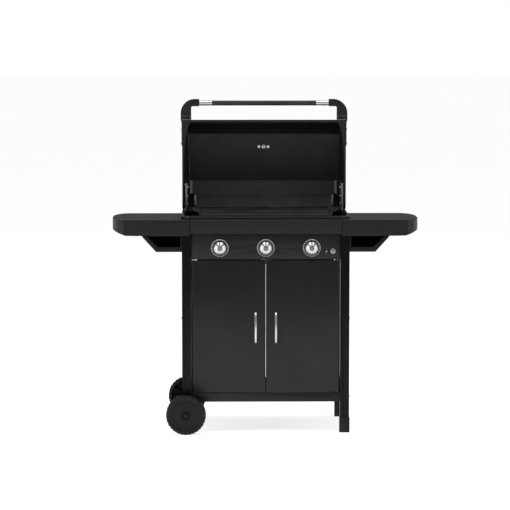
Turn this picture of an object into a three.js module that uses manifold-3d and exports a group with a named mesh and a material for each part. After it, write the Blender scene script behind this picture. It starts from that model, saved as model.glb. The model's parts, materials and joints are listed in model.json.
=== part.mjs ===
// Gas barbecue grill on a wheeled cabinet cart, with its lid open.
// Millimetres: X to the right, Y to the back, Z up. The origin is on the floor, under the
// middle of the grill. Depths are counted back from the front face of the posts.

import * as THREE from 'three';
import { mergeVertices } from 'three/addons/utils/BufferGeometryUtils.js';
import Module from 'manifold-3d';

const wasm = await Module();
wasm.setup();

// ---------------------------------------------------------------- driving dimensions

const GAP = 0.3;                 // between pieces that touch
const SHEET = 1;                 // folded steel sheet
const FRONT = -240;              // front face of the posts
const CART_DEPTH = 480;
const CART_HALF = 363.5;         // half the width over the posts

const POST = 40;                 // square tube
const POST_WALL = 2;
const POST_TOP = 927.5;
const POST_LEFT_END = 60;        // the left posts end above the floor, beside the wheels
const POST_INNER = CART_HALF - POST;

const FOOT = 43.6;               // plastic foot on each right post
const FOOT_HEIGHT = 66;
const FOOT_FLOOR = 6;

const AXLE_HEIGHT = 86.5;
const AXLE_RADIUS = 6;
const WHEEL_WIDTH = 50;
const WHEEL_STANDOFF = 20;       // from a post to the near side of its wheel
const WHEEL_X = -(CART_HALF - POST / 2) - 3;

const RAIL = [136, 176];         // heights of the bottom rails
const RAIL_WIDTH = 38.7;
const BASE_TOP = 172;
const SIDE_PANEL_TOP = 862;

const DOOR = [180, 754];
const DOOR_OUTER = 320;
const DOOR_INNER = 0.7;
const DOOR_THICK = 18;
const DOOR_HINGE = 312;          // hinge rod, from the centre line
const DOOR_HINGE_DEPTH = 10;
const HINGE_ROD_RADIUS = 3;
const DOOR_HANDLE_X = 44;
const DOOR_HANDLE_Z = 461;
const DOOR_HANDLE = [70, 30];    // half length and reach of the bow
const DOOR_HANDLE_WIDTH = 9;
const DOOR_HANDLE_THICK = 6;

const PANEL = [757.5, 866];      // control panel
const PANEL_DEPTH = 6;
const KNOB_Z = 808;
const KNOB_PITCH = 199;
const KNOBS = { left: -KNOB_PITCH, centre: 0, right: KNOB_PITCH };
const STEM_RADIUS = 4;
const IGNITER = [291, 794];      // X and Z

const APRON = [868, 930.5];
const APRON_HALF = 329.5;
const APRON_DEPTH = -2;

const SHELF_TOP = 930;
const SHELF_END = 668;
const SHELF_BACK = 400;
const SHELF_SKIRT = 860;         // bottom of the front skirt

const RIM = [930.3, 944];        // firebox rim
const FIREBOX_HALF = 366;
const FIREBOX = [30, 440];
const TUB_FLOOR = 880;           // floor of the wide upper part
const WELL = [84, 396];          // narrow lower part that holds the burners
const WELL_HALF = 330;
const WELL_FLOOR = 757;

const GRIDDLE_HALF = 289.5;
const GRIDDLE = [38, 432];
const GRIDDLE_TOP = 950.3;

const AXIS_DEPTH = 404;          // lid hinge axis
const AXIS_HEIGHT = 969;
const LID_HALF = 366.5;          // half the width over the lid's rim
const LID_DRAFT = 0.175;         // the lid's ends lean in by this much for each mm up
const LID_RIM = -24.5;           // rim of the closed lid, from the axis
const LID_FRONT = 380;           // front of the closed lid, from the axis
const LID_RIM_THICK = 3;
const END_CAP = 3;
const HANDLE_FORWARD = 454;      // handle bar, from the axis
const HANDLE_UP = -4;

const GREASE_TRAY = [728, 750];
const TRAY_HALF = 150;

// ---------------------------------------------------------------- materials

function material(color, roughness, metalness) {
  return new THREE.MeshStandardMaterial({ color, roughness, metalness });
}

const BLACK_COAT = material(0x1b1c1e, 0.45, 0.2);
const BLACK_PANEL = material(0x202123, 0.4, 0.2);
const BLACK_ENAMEL = material(0x141415, 0.3, 0.1);
const BLACK_PLASTIC = material(0x161718, 0.6, 0);
const WHEEL_PLASTIC = material(0x1a1a1b, 0.65, 0);
const CAST_IRON = material(0x1d1d1e, 0.55, 0.4);
const CHROME = material(0xd8dadc, 0.15, 1);
const STEEL = material(0xb4b6b8, 0.35, 1);
const BRASS = material(0xb08d45, 0.35, 1);

// ---------------------------------------------------------------- geometry helpers

const deep = (depth) => FRONT + depth;

// Keeps position only, shares vertices, drops empty triangles and turns faces outward.
function clean(source) {
  const plain = source.clone();
  plain.deleteAttribute('normal');
  plain.deleteAttribute('uv');
  const merged = mergeVertices(plain, 1e-4);
  const index = merged.index.array;
  const p = merged.attributes.position;
  const corner = [0, 1, 2].map(() => new THREE.Vector3());
  const kept = [];
  let volume = 0;
  for (let i = 0; i < index.length; i += 3) {
    const [a, b, c] = [index[i], index[i + 1], index[i + 2]];
    if (a === b || b === c || c === a) continue;
    kept.push(a, b, c);
    corner[0].fromBufferAttribute(p, a);
    corner[1].fromBufferAttribute(p, b);
    corner[2].fromBufferAttribute(p, c);
    volume += corner[0].dot(corner[1].cross(corner[2]));
  }
  if (volume < 0) kept.reverse();
  merged.setIndex(kept);
  return merged;
}

function toSolid(geometry) {
  const closed = clean(geometry);
  const vertProperties = new Float32Array(closed.attributes.position.array);
  const triVerts = new Uint32Array(closed.index.array);
  return new wasm.Manifold(new wasm.Mesh({ numProp: 3, vertProperties, triVerts }));
}

function toGeometry(solid) {
  const mesh = solid.getMesh();
  const geometry = new THREE.BufferGeometry();
  geometry.setAttribute('position', new THREE.BufferAttribute(mesh.vertProperties, 3));
  geometry.setIndex(new THREE.BufferAttribute(mesh.triVerts, 1));
  return geometry;
}

function join(first, ...others) {
  return toGeometry(others.reduce((sum, piece) => sum.add(toSolid(piece)), toSolid(first)));
}

function cut(first, ...tools) {
  return toGeometry(tools.reduce((rest, tool) => rest.subtract(toSolid(tool)), toSolid(first)));
}

function common(first, second) {
  return toGeometry(toSolid(first).intersect(toSolid(second)));
}

// A block between low and high on each axis.
function block([x0, x1], [y0, y1], [z0, z1]) {
  const geometry = new THREE.BoxGeometry(x1 - x0, y1 - y0, z1 - z0);
  return geometry.translate((x0 + x1) / 2, (y0 + y1) / 2, (z0 + z1) / 2);
}

// Straight extrusions. alongX takes a shape drawn in (Y, Z), alongY one in (X, Z) and
// alongZ one in (X, Y).
const BASES = {
  x: [[0, 1, 0], [0, 0, 1], [1, 0, 0]],
  y: [[1, 0, 0], [0, 0, 1], [0, -1, 0]],
  z: [[1, 0, 0], [0, 1, 0], [0, 0, 1]],
};

function extrude(shape, axis, [low, high], curveSegments = 5) {
  const options = { depth: high - low, bevelEnabled: false, curveSegments };
  const geometry = new THREE.ExtrudeGeometry(shape, options);
  const [a, b, c] = BASES[axis].map((v) => new THREE.Vector3(...v));
  geometry.applyMatrix4(new THREE.Matrix4().makeBasis(a, b, c));
  const start = axis === 'y' ? high : low;
  return geometry.translate(...{ x: [start, 0, 0], y: [0, start, 0], z: [0, 0, start] }[axis]);
}

const alongX = (shape, range, segments) => extrude(shape, 'x', range, segments);
const alongY = (shape, range, segments) => extrude(shape, 'y', range, segments);
const alongZ = (shape, range, segments) => extrude(shape, 'z', range, segments);

function polygon(points) {
  return new THREE.Shape(points.map(([a, b]) => new THREE.Vector2(a, b)));
}

function rectangle([a0, a1], [b0, b1]) {
  return polygon([[a0, b0], [a1, b0], [a1, b1], [a0, b1]]);
}

function circle(a, b, radius) {
  return new THREE.Shape().absarc(a, b, radius, 0, 2 * Math.PI);
}

// The section of a sheet folded along a line of points. The sheet lies to the left of it.
function folded(points, thickness = SHEET) {
  const line = points.map(([a, b]) => new THREE.Vector2(a, b));
  const normals = line.slice(1).map((end, i) => {
    const way = end.clone().sub(line[i]).normalize();
    return new THREE.Vector2(-way.y, way.x);
  });
  const inner = line.map((point, i) => {
    const before = normals[Math.max(i - 1, 0)];
    const after = normals[Math.min(i, normals.length - 1)];
    const mitre = before.clone().add(after).multiplyScalar(thickness / (1 + before.dot(after)));
    return point.clone().add(mitre);
  });
  return new THREE.Shape([...line, ...inner.reverse()]);
}

// A body turned about the Y axis through x, z. Points are [radius, y].
function turned(points, x = 0, z = 0, segments = 20) {
  const profile = points.map(([radius, y]) => new THREE.Vector2(radius, y));
  return new THREE.LatheGeometry(profile, segments).translate(x, 0, z);
}

function ring(points, x, z, segments) {
  return turned([...points, points[0]], x, z, segments);
}

// A body turned about a line along X through y, z. Points are [radius, x].
function turnedX(points, y, z, segments = 14) {
  const profile = points.map(([radius, x]) => new THREE.Vector2(radius, x));
  const geometry = new THREE.LatheGeometry(profile, segments).rotateZ(-Math.PI / 2);
  return geometry.translate(0, y, z);
}

function mirrored(geometry) {
  return geometry.clone().applyMatrix4(new THREE.Matrix4().makeScale(-1, 1, 1));
}

const grill = new THREE.Group();

function add(name, geometry, surface, parent = grill) {
  const mesh = new THREE.Mesh(clean(geometry), surface);
  mesh.name = name;
  parent.add(mesh);
}

// Adds a piece drawn on the right and its mirror image on the left.
function addPair(name, geometry, surface, parent = grill) {
  add(`${name}_right`, geometry, surface, parent);
  add(`${name}_left`, mirrored(geometry), surface, parent);
}

// ---------------------------------------------------------------- cart frame

function post(x, depth, bottom) {
  const section = rectangle([x, x + POST], [deep(depth), deep(depth) + POST]);
  const inside = [POST_WALL, POST - POST_WALL];
  const hole = rectangle(inside.map((v) => x + v), inside.map((v) => deep(depth) + v));
  section.holes.push(hole);
  const tube = alongZ(section, [bottom, POST_TOP]);
  const bore = circle(x < 0 ? WHEEL_X : -WHEEL_X, AXLE_HEIGHT, AXLE_RADIUS + GAP);
  return cut(tube, alongY(bore, [deep(depth) - 1, deep(depth) + POST + 1]));
}

function foot(x, depth) {
  const centre = [x + POST / 2, deep(depth) + POST / 2];
  const half = FOOT / 2;
  const pocket = POST / 2 + GAP;
  const around = (reach) => centre.map((c) => [c - reach, c + reach]);
  const body = block(...around(half), [0, FOOT_HEIGHT]);
  return cut(body, block(...around(pocket), [FOOT_FLOOR, FOOT_HEIGHT + 1]));
}

function bottomRail(depth) {
  const [front, back] = [deep(depth), deep(depth) + RAIL_WIDTH];
  const section = rectangle([front, back], RAIL);
  const y = [front + POST_WALL, back - POST_WALL];
  section.holes.push(rectangle(y, [RAIL[0] + POST_WALL, RAIL[1] - POST_WALL]));
  return alongX(section, [-POST_INNER + GAP, POST_INNER - GAP]);
}

// The cabinet floor, folded down at the front and back.
function baseShelf() {
  const [front, back] = [deep(POST + GAP), deep(CART_DEPTH - POST - GAP)];
  const lip = BASE_TOP - 14;
  const section = folded([[back, lip], [back, BASE_TOP], [front, BASE_TOP], [front, lip]]);
  return alongX(section, [-CART_HALF + 14.6, CART_HALF - 14.6]);
}

// A side wall of the cabinet, folded in at both posts, with a ledge that carries the firebox.
function sidePanel() {
  const [front, back] = [deep(POST + GAP), deep(CART_DEPTH - POST - GAP)];
  const outer = CART_HALF - 0.5;
  const fold = outer - 12;
  const wall = folded([[fold, front], [outer, front], [outer, back], [fold, back]]);
  const ledge = folded([[outer, SIDE_PANEL_TOP - 2], [outer, TUB_FLOOR - GAP],
    [WELL_HALF + 2, TUB_FLOOR - GAP]]);
  const bracket = alongY(ledge, [front, back]);
  return join(alongZ(wall, [RAIL[0] + 4, SIDE_PANEL_TOP]), bracket);
}

function buildCart() {
  const [left, right] = [-CART_HALF, POST_INNER];
  const rear = CART_DEPTH - POST;
  add('post_front_left', post(left, 0, POST_LEFT_END), BLACK_COAT);
  add('post_rear_left', post(left, rear, POST_LEFT_END), BLACK_COAT);
  add('post_front_right', post(right, 0, FOOT_FLOOR + GAP), BLACK_COAT);
  add('post_rear_right', post(right, rear, FOOT_FLOOR + GAP), BLACK_COAT);
  add('foot_front', foot(right, 0), BLACK_PLASTIC);
  add('foot_rear', foot(right, rear), BLACK_PLASTIC);
  add('bottom_rail_front', bottomRail(POST - RAIL_WIDTH - GAP), BLACK_COAT);
  add('bottom_rail_rear', bottomRail(rear + GAP), BLACK_COAT);
  add('base_shelf', baseShelf(), BLACK_COAT);
  addPair('side_panel', sidePanel(), BLACK_COAT);
}

// ---------------------------------------------------------------- wheels

// Points are [radius, distance inward from the wheel's outer face].
function wheel(outerFace, inward) {
  const facets = 32;
  const tread = AXLE_HEIGHT / Math.cos(Math.PI / facets);
  const web = 8;
  const hub = 18;
  const rimInside = tread - 14;
  const bore = AXLE_RADIUS + GAP;
  const hubEnd = WHEEL_WIDTH + WHEEL_STANDOFF - 2;
  const profile = [[bore, 0], [tread - 5, 0], [tread, 5], [tread, WHEEL_WIDTH - 4],
    [tread - 4, WHEEL_WIDTH], [rimInside, WHEEL_WIDTH], [rimInside, web], [hub, web],
    [hub, hubEnd], [bore, hubEnd]];
  const points = profile.map(([radius, t]) => [radius, outerFace + inward * t]);
  const body = turned([...points, points[0]], 0, 0, facets).rotateY(Math.PI / facets);
  return body.translate(WHEEL_X, 0, AXLE_HEIGHT);
}

// A plain rod with a domed cap on each end.
function axle(front, back) {
  const head = 11;
  return turned([[0, front - 7], [8, front - 6.5], [head, front - 4], [head, front - GAP],
    [AXLE_RADIUS, front - GAP], [AXLE_RADIUS, back + GAP], [head, back + GAP],
    [head, back + 4], [8, back + 6.5], [0, back + 7]], WHEEL_X, AXLE_HEIGHT, 12);
}

function buildWheels() {
  const front = deep(-WHEEL_STANDOFF - WHEEL_WIDTH);
  const back = deep(CART_DEPTH + WHEEL_STANDOFF + WHEEL_WIDTH);
  add('wheel_front', wheel(front, 1), WHEEL_PLASTIC);
  add('wheel_rear', wheel(back, -1), WHEEL_PLASTIC);
  add('wheel_axle', axle(front, back), STEEL);
}

// ---------------------------------------------------------------- doors

// A pan seen from above, x from inner to outer, with rounded front corners.
function doorOutline(inset) {
  const [x0, x1] = [DOOR_INNER + inset, DOOR_OUTER - inset];
  const y0 = deep(inset);
  const back = deep(inset ? DOOR_THICK + 1 : DOOR_THICK);
  const outer = DOOR_OUTER - DOOR_HINGE - inset;
  const inner = 6 - inset;
  const shape = new THREE.Shape();
  shape.moveTo(x0, back);
  shape.lineTo(x0, y0 + inner);
  shape.absarc(x0 + inner, y0 + inner, inner, Math.PI, 1.5 * Math.PI);
  shape.absarc(x1 - outer, y0 + outer, outer, 1.5 * Math.PI, 2 * Math.PI);
  shape.lineTo(x1, back);
  return shape;
}

function door() {
  const pan = alongZ(doorOutline(0), DOOR);
  const hollow = alongZ(doorOutline(SHEET), [DOOR[0] + SHEET, DOOR[1] - SHEET]);
  const rodHole = circle(DOOR_HINGE, deep(DOOR_HINGE_DEPTH), HINGE_ROD_RADIUS + GAP);
  return cut(pan, hollow, alongZ(rodHole, [DOOR[0] - 1, DOOR[1] + 1]));
}

// A bow of flat bar that stands out from the door.
function doorHandle() {
  const [half, reach] = DOOR_HANDLE;
  const foot = deep(-GAP);
  const bow = new THREE.Shape();
  bow.absellipse(foot, DOOR_HANDLE_Z, reach, half, 0.5 * Math.PI, 1.5 * Math.PI);
  const [innerReach, innerHalf] = [reach - DOOR_HANDLE_THICK, half - DOOR_HANDLE_THICK];
  bow.absellipse(foot, DOOR_HANDLE_Z, innerReach, innerHalf, 1.5 * Math.PI, 0.5 * Math.PI, true);
  const side = DOOR_HANDLE_WIDTH / 2;
  return alongX(bow, [DOOR_HANDLE_X - side, DOOR_HANDLE_X + side], 8);
}

function hingeRod() {
  const rod = circle(DOOR_HINGE, deep(DOOR_HINGE_DEPTH), HINGE_ROD_RADIUS);
  return alongZ(rod, [RAIL[1] + GAP, PANEL[0] - GAP]);
}

function buildDoors() {
  addPair('door', door(), BLACK_PANEL);
  addPair('door_handle', doorHandle(), CHROME);
  addPair('door_hinge_rod', hingeRod(), STEEL);
  add('door_catch', block([-22, 22], [deep(20), deep(34)], [742, PANEL[0] - GAP]), STEEL);
}

// ---------------------------------------------------------------- control panel

// The panel is folded back along its top and bottom, and down again behind the doors.
function controlPanel() {
  const [bottom, top] = PANEL;
  const face = deep(PANEL_DEPTH);
  const section = folded([[face + 24, top], [face, top], [face, bottom], [face + 32, bottom]]);
  const folds = alongX(section, [-POST_INNER + 0.6, POST_INNER - 0.6]);
  const drip = block([-298, 298], [face + 32 - SHEET, face + 32], [bottom - 13, bottom + SHEET]);
  const sheet = join(folds, drip);
  const through = [face - 1, face + SHEET + 1];
  const holes = Object.values(KNOBS).map((x) => alongY(circle(x, KNOB_Z, 7), through));
  return cut(sheet, ...holes, alongY(circle(...IGNITER, 10), through));
}

function knobBezel(x) {
  const back = PANEL_DEPTH - GAP;
  const points = [[8, back], [39, back], [39, 0], [37.5, -2.5], [35.5, -2.5], [34, 3.2], [8, 3.2]];
  return ring(points.map(([r, d]) => [r, deep(d)]), x, KNOB_Z, 24);
}

// A skirt, a raised cup and a small boss in the cup, with a blind hole for the stem.
function knob(x) {
  const bore = STEM_RADIUS + GAP;
  const points = [[0, -22], [7, -21], [7.5, -17.9], [12.5, -19], [13.5, -24], [15, -26],
    [17, -26], [18.5, -24], [20, -9], [30, -8], [32.5, -5], [32.5, -2], [31.5, -0.8],
    [bore, -0.8], [bore, -17.4], [0, -17.4]];
  return turned(points.map(([r, d]) => [r, deep(d)]), x, KNOB_Z);
}

function valveStem(x) {
  const points = [[0, -13.5], [STEM_RADIUS, -13.5], [STEM_RADIUS, 24], [0, 24]];
  return turned(points.map(([r, d]) => [r, deep(d)]), x, KNOB_Z, 10);
}

function igniterHousing() {
  const points = [[7.4, 2.5], [15, 2.5], [15, 5.7], [9.2, 5.7], [9.2, 44], [7.4, 44]];
  return ring(points.map(([r, d]) => [r, deep(d)]), ...IGNITER, 14);
}

function igniterButton() {
  const points = [[0, -8], [6, -7.5], [11, -5.5], [12.5, -3], [12.5, -1.8], [7, -1.8],
    [7, 32], [0, 32]];
  return turned(points.map(([r, d]) => [r, deep(d)]), ...IGNITER, 14);
}

function apron() {
  const [bottom, top] = APRON;
  const face = deep(APRON_DEPTH);
  const points = [[deep(FIREBOX[0]) - GAP, top], [face, top], [face, bottom], [face + 12, bottom]];
  const sheet = alongX(folded(points), [-APRON_HALF, APRON_HALF]);
  const notch = block([POST_INNER - GAP, APRON_HALF + 1], [face + SHEET, face + 14],
    [bottom - 1, POST_TOP + GAP]);
  return cut(sheet, notch, mirrored(notch));
}

function buildControls() {
  add('control_panel', controlPanel(), BLACK_PANEL);
  add('front_apron', apron(), BLACK_COAT);
  for (const [side, x] of Object.entries(KNOBS)) {
    add(`knob_bezel_${side}`, knobBezel(x), CHROME);
    add(`knob_${side}`, knob(x), CHROME);
    add(`valve_stem_${side}`, valveStem(x), STEEL);
  }
  add('igniter_housing', igniterHousing(), BLACK_PLASTIC);
  add('igniter_button', igniterButton(), CHROME);
}

// ---------------------------------------------------------------- gas parts

const MANIFOLD = { depth: 34, z: 778, radius: 8, half: 235 };

// The supply pipe, with a valve body standing on it at each knob.
function manifold() {
  const { depth, z, radius, half } = MANIFOLD;
  const pipe = turnedX([[0, -half], [radius, -half], [radius, half], [0, half]], deep(depth), z);
  const bodies = Object.values(KNOBS).map((x) => {
    const body = block([x - 11, x + 11], [deep(12), deep(42)], [z + 2, KNOB_Z + 14]);
    const socket = alongY(circle(x, KNOB_Z, STEM_RADIUS + GAP), [deep(11), deep(26)]);
    const nozzle = [[0, deep(40)], [4, deep(40)], [4, deep(52)], [0, deep(52)]];
    return join(cut(body, socket), turned(nozzle, x, KNOB_Z, 10));
  });
  return join(pipe, ...bodies);
}

// The barbed tail that takes the gas hose.
function gasInlet() {
  const x0 = -MANIFOLD.half + 1;
  const points = [[0, x0], [10, x0], [10, x0 - 12], [5, x0 - 12], [6.5, x0 - 20], [5, x0 - 20],
    [6.5, x0 - 28], [5, x0 - 28], [4, x0 - 34], [0, x0 - 34]];
  return turnedX(points, deep(MANIFOLD.depth), MANIFOLD.z, 8);
}

// A closed pipe whose open mouth takes the valve's nozzle.
function burner(x) {
  const points = [[0, 384], [12, 384], [15, 380], [15, 46], [12, 46], [12, 376], [0, 376]];
  return turned(points.map(([r, d]) => [r, deep(d)]), x, KNOB_Z, 12);
}

function buildGas() {
  add('gas_manifold', join(manifold(), gasInlet()), BRASS);
  for (const [side, x] of Object.entries(KNOBS)) {
    add(`burner_${side}`, burner(x), STEEL);
  }
}

// ---------------------------------------------------------------- firebox

// A plan outline whose front corners are long quarter ellipses.
function bowedOutline(half, [front, back], [rx, ry], corner) {
  const shape = new THREE.Shape();
  const [y0, y1] = [deep(front), deep(back)];
  shape.moveTo(-half + rx, y0);
  shape.absellipse(half - rx, y0 + ry, rx, ry, 1.5 * Math.PI, 2 * Math.PI);
  shape.absarc(half - corner, y1 - corner, corner, 0, 0.5 * Math.PI);
  shape.absarc(-half + corner, y1 - corner, corner, 0.5 * Math.PI, Math.PI);
  shape.absellipse(-half + rx, y0 + ry, rx, ry, Math.PI, 1.5 * Math.PI);
  return shape;
}

// Two rails under the firebox that the grease tray hangs from.
function trayRail() {
  const [foot, top] = [GREASE_TRAY[1] - 4, WELL_FLOOR + 1];
  const points = [[TRAY_HALF + 2, foot], [TRAY_HALF + 12, foot], [TRAY_HALF + 12, top]];
  return alongY(folded(points), [deep(110), deep(390)]);
}

function firebox() {
  const wall = 2;
  const rim = alongZ(bowedOutline(FIREBOX_HALF, FIREBOX, [32, 120], 12), RIM);
  const tub = alongZ(bowedOutline(365, [44, 438], [32, 106], 12), [TUB_FLOOR, RIM[0] + 1]);
  const well = block([-WELL_HALF, WELL_HALF], WELL.map(deep), [WELL_FLOOR, TUB_FLOOR + 1]);
  const mouth = alongZ(bowedOutline(357, [47, 426], [26, 103], 10), [RIM[0], RIM[1] + 1]);
  const tubHollow = bowedOutline(362, [47, 435], [29, 103], 10);
  const tubSpace = alongZ(tubHollow, [TUB_FLOOR + wall, RIM[0] + 0.5]);
  const wellHalf = WELL_HALF - wall;
  const wellSpace = block([-wellHalf, wellHalf], [deep(WELL[0] + wall), deep(WELL[1] - wall)],
    [WELL_FLOOR + wall, TUB_FLOOR + wall + 1]);
  const drain = alongZ(circle(0, deep(240), 30), [WELL_FLOOR - 1, WELL_FLOOR + wall + 1]);
  const pipes = Object.values(KNOBS).map((x) => (
    alongY(circle(x, KNOB_Z, 16), [deep(WELL[0] - 1), deep(WELL[0] + wall + 1)])));
  const tray = cut(join(rim, tub, well), mouth, tubSpace, wellSpace, drain, ...pipes);
  const upstand = block([-352, 352], [deep(436.5), deep(438.5)], [RIM[1] - 1, RIM[1] + 11]);
  const heatShield = folded([[deep(FIREBOX[1]) - 2, 942], [deep(462), 942], [deep(462), 929]]
    .reverse());
  return join(tray, upstand, alongX(heatShield, [-352, 352]), trayRail(), mirrored(trayRail()));
}

// A flat plate with a low raised edge on three sides and a lifting lug at each end.
function griddle() {
  const [front, back] = GRIDDLE.map(deep);
  const bottom = RIM[1] + GAP;
  const plate = block([-GRIDDLE_HALF, GRIDDLE_HALF], [front, back], [bottom, GRIDDLE_TOP]);
  const lip = [bottom, GRIDDLE_TOP + 8];
  const side = block([GRIDDLE_HALF - 5, GRIDDLE_HALF], [front, back], lip);
  const rear = block([-GRIDDLE_HALF, GRIDDLE_HALF], [back - 5, back], lip);
  const lugPath = new THREE.CatmullRomCurve3([
    [GRIDDLE_HALF - 2, 96, 954], [303, 97, 958], [311, 104, 966], [312, 145, 967],
    [311, 186, 966], [303, 193, 958], [GRIDDLE_HALF - 2, 194, 954],
  ].map(([x, d, z]) => new THREE.Vector3(x, deep(d), z)));
  const bar = { steps: 14, bevelEnabled: false, curveSegments: 3, extrudePath: lugPath };
  const lug = new THREE.ExtrudeGeometry(circle(0, 0, 4), bar);
  const drain = alongZ(circle(0, deep(62), 12), [bottom - 1, GRIDDLE_TOP + 1]);
  const edged = join(plate, side, mirrored(side), rear, lug, mirrored(lug));
  return cut(edged, drain);
}

function greaseTray() {
  const [bottom, top] = GREASE_TRAY;
  const [front, back] = [deep(112), deep(372)];
  const pan = block([-TRAY_HALF, TRAY_HALF], [front, back], [bottom, top]);
  const flange = block([-TRAY_HALF - 7, TRAY_HALF + 7], [front, back], [top - SHEET, top]);
  const space = block([-TRAY_HALF + SHEET, TRAY_HALF - SHEET], [front + SHEET, back - SHEET],
    [bottom + SHEET, top + 1]);
  const grip = block([-40, 40], [back - 1, back + 16], [top - 8, top - 8 + SHEET]);
  return join(cut(join(pan, flange), space), grip);
}

// The ear that carries the lid's pivot, with the pivot pin fixed in it.
function hingeBracket() {
  const [y, z] = [deep(AXIS_DEPTH), AXIS_HEIGHT];
  const ear = new THREE.Shape();
  ear.moveTo(y - 12, 892);
  ear.lineTo(y + 12, 892);
  ear.lineTo(y + 12, z);
  ear.absarc(y, z, 12, 0, Math.PI);
  const plate = alongX(ear, [352.2, 355.8]);
  const boss = block([355, 361.7], [y - 12, y + 12], [894, 922]);
  const pin = turnedX([[0, 339.5], [9, 339.5], [9, 343.1], [5, 343.1], [5, 353], [0, 353]], y, z);
  return join(plate, boss, pin);
}

function buildFirebox() {
  add('firebox', firebox(), BLACK_ENAMEL);
  add('griddle_plate', griddle(), CAST_IRON);
  add('grease_tray', greaseTray(), STEEL);
  addPair('lid_hinge_bracket', hingeBracket(), STEEL);
}

// ---------------------------------------------------------------- side shelves

// The shelf from above, from the grill out to its rounded end.
function shelfOutline(inner, inset) {
  const [rx, frontRy, rearRx, rearRy] = [58, 152, 68, 170];
  const end = SHELF_END - inset;
  const [front, back] = [APRON_DEPTH + inset, SHELF_BACK - inset];
  const shape = new THREE.Shape();
  shape.moveTo(...inner[0]);
  shape.absellipse(end - rx, deep(front + frontRy), rx, frontRy, 1.5 * Math.PI, 2 * Math.PI);
  shape.absellipse(end - rearRx, deep(back - rearRy), rearRx, rearRy, 0, 0.5 * Math.PI);
  inner.slice(1).forEach((point) => shape.lineTo(...point));
  return shape;
}

// A folded sheet top whose front skirt ends in a slanting cut.
function shelf() {
  const [tongue, side] = [APRON_HALF + 1, FIREBOX_HALF + 1.5];
  const [front, back] = [deep(APRON_DEPTH), deep(SHELF_BACK)];
  const step = deep(43);
  const inner = [[tongue, front], [side, back], [side, step], [tongue, step]];
  const top = alongZ(shelfOutline(inner, 0), [SHELF_TOP - SHEET, SHELF_TOP], 7);
  const skirt = polygon([[tongue, SHELF_SKIRT], [543, SHELF_SKIRT], [606, 912],
    [606, SHELF_TOP - 1], [tongue, SHELF_TOP - 1]]);
  const rear = rectangle([side, 590], [900, SHELF_TOP - 1]);
  return join(top, alongY(skirt, [front, front + SHEET]), alongY(rear, [back - SHEET, back]));
}

// The moulded end under the shelf's sheet, bevelled up towards its tip.
function shelfCap() {
  const start = 548;
  const wall = 4;
  const outline = (inset) => shelfOutline(
    [[start, deep(APRON_DEPTH + inset)], [start, deep(SHELF_BACK - inset)]], inset);
  const top = SHELF_TOP - SHEET - GAP;
  const body = alongZ(outline(0.5), [SHELF_SKIRT, top], 7);
  const hollow = alongZ(outline(wall), [SHELF_SKIRT - 1, top - 3], 7);
  const open = block([start - 1, start + wall], [deep(3), deep(SHELF_BACK - 5)],
    [SHELF_SKIRT - 1, top - 3]);
  const bevel = polygon([[603, SHELF_SKIRT - 1], [680, SHELF_SKIRT + 27], [680, SHELF_SKIRT - 1]]);
  const underside = alongY(bevel, [deep(-10), deep(SHELF_BACK + 10)]);
  const behindSkirt = block([start - 1, 607], [deep(-10), deep(0)], [SHELF_SKIRT - 1, top + 1]);
  const behindRear = block([start - 1, 591], [deep(SHELF_BACK - 2), deep(SHELF_BACK + 10)],
    [SHELF_SKIRT - 1, top + 1]);
  return cut(body, hollow, open, underside, behindSkirt, behindRear);
}

// An open sheet tray that braces the shelf from the post.
function shelfBracket() {
  const x0 = CART_HALF + GAP;
  const [low, high] = [791, 857];
  const [foot, tip] = [475, 535];
  const frontLip = 21;
  const outer = [[x0, low], [foot, low], [tip, high], [x0, high]];
  const depth = [deep(1), deep(250)];
  const body = alongY(polygon(outer), depth);
  const space = alongY(polygon([[x0 + 2, low + 2], [foot - 1, low + 2], [tip, high + 2],
    [x0 + 2, high + 2]]), [depth[0] + 2, depth[1] - 2]);
  const mouth = alongY(polygon([[x0 + 6, low + frontLip], [foot - 9, low + frontLip],
    [tip - 20, high + 2], [x0 + 6, high + 2]]), [depth[0] - 1, depth[0] + 3]);
  const tie = alongY(rectangle([370, 530], [high - 8, SHELF_TOP - SHEET - GAP]),
    [depth[1] - 2, depth[1]]);
  return join(cut(body, space, mouth), tie);
}

function buildShelves() {
  addPair('side_shelf', shelf(), BLACK_COAT);
  addPair('side_shelf_cap', shelfCap(), BLACK_PLASTIC);
  addPair('side_shelf_bracket', shelfBracket(), BLACK_COAT);
}

// ---------------------------------------------------------------- lid

// The lid is drawn closed, about its hinge axis: Y runs back from the axis and Z up.
const LID_PROFILE = [[-LID_FRONT, LID_RIM + LID_RIM_THICK + GAP], [-337, 86], [-314, 107],
  [-98, 147], [-33, 136], [19, 44]];
const TOP_SLOPE = Math.atan2(147 - 107, 314 - 98);

const leanIn = (z) => LID_HALF - LID_DRAFT * (z - LID_RIM);

// The pressed hood, with the flat rim that rests on the firebox.
function hood() {
  const sheet = alongX(folded([...LID_PROFILE].reverse(), 2), [-LID_HALF, LID_HALF]);
  const inside = (z) => leanIn(z) - END_CAP - GAP;
  const [low, high] = [LID_RIM, 160];
  const width = polygon([[-inside(low), low], [inside(low), low], [inside(high), high],
    [-inside(high), high]]);
  const trimmed = common(sheet, alongY(width, [-LID_FRONT - 10, 60]));
  const probe = thermometerPlace(alongZ(circle(0, 0, 6), [-8, 4]));
  return cut(trimmed, probe);
}

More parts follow.
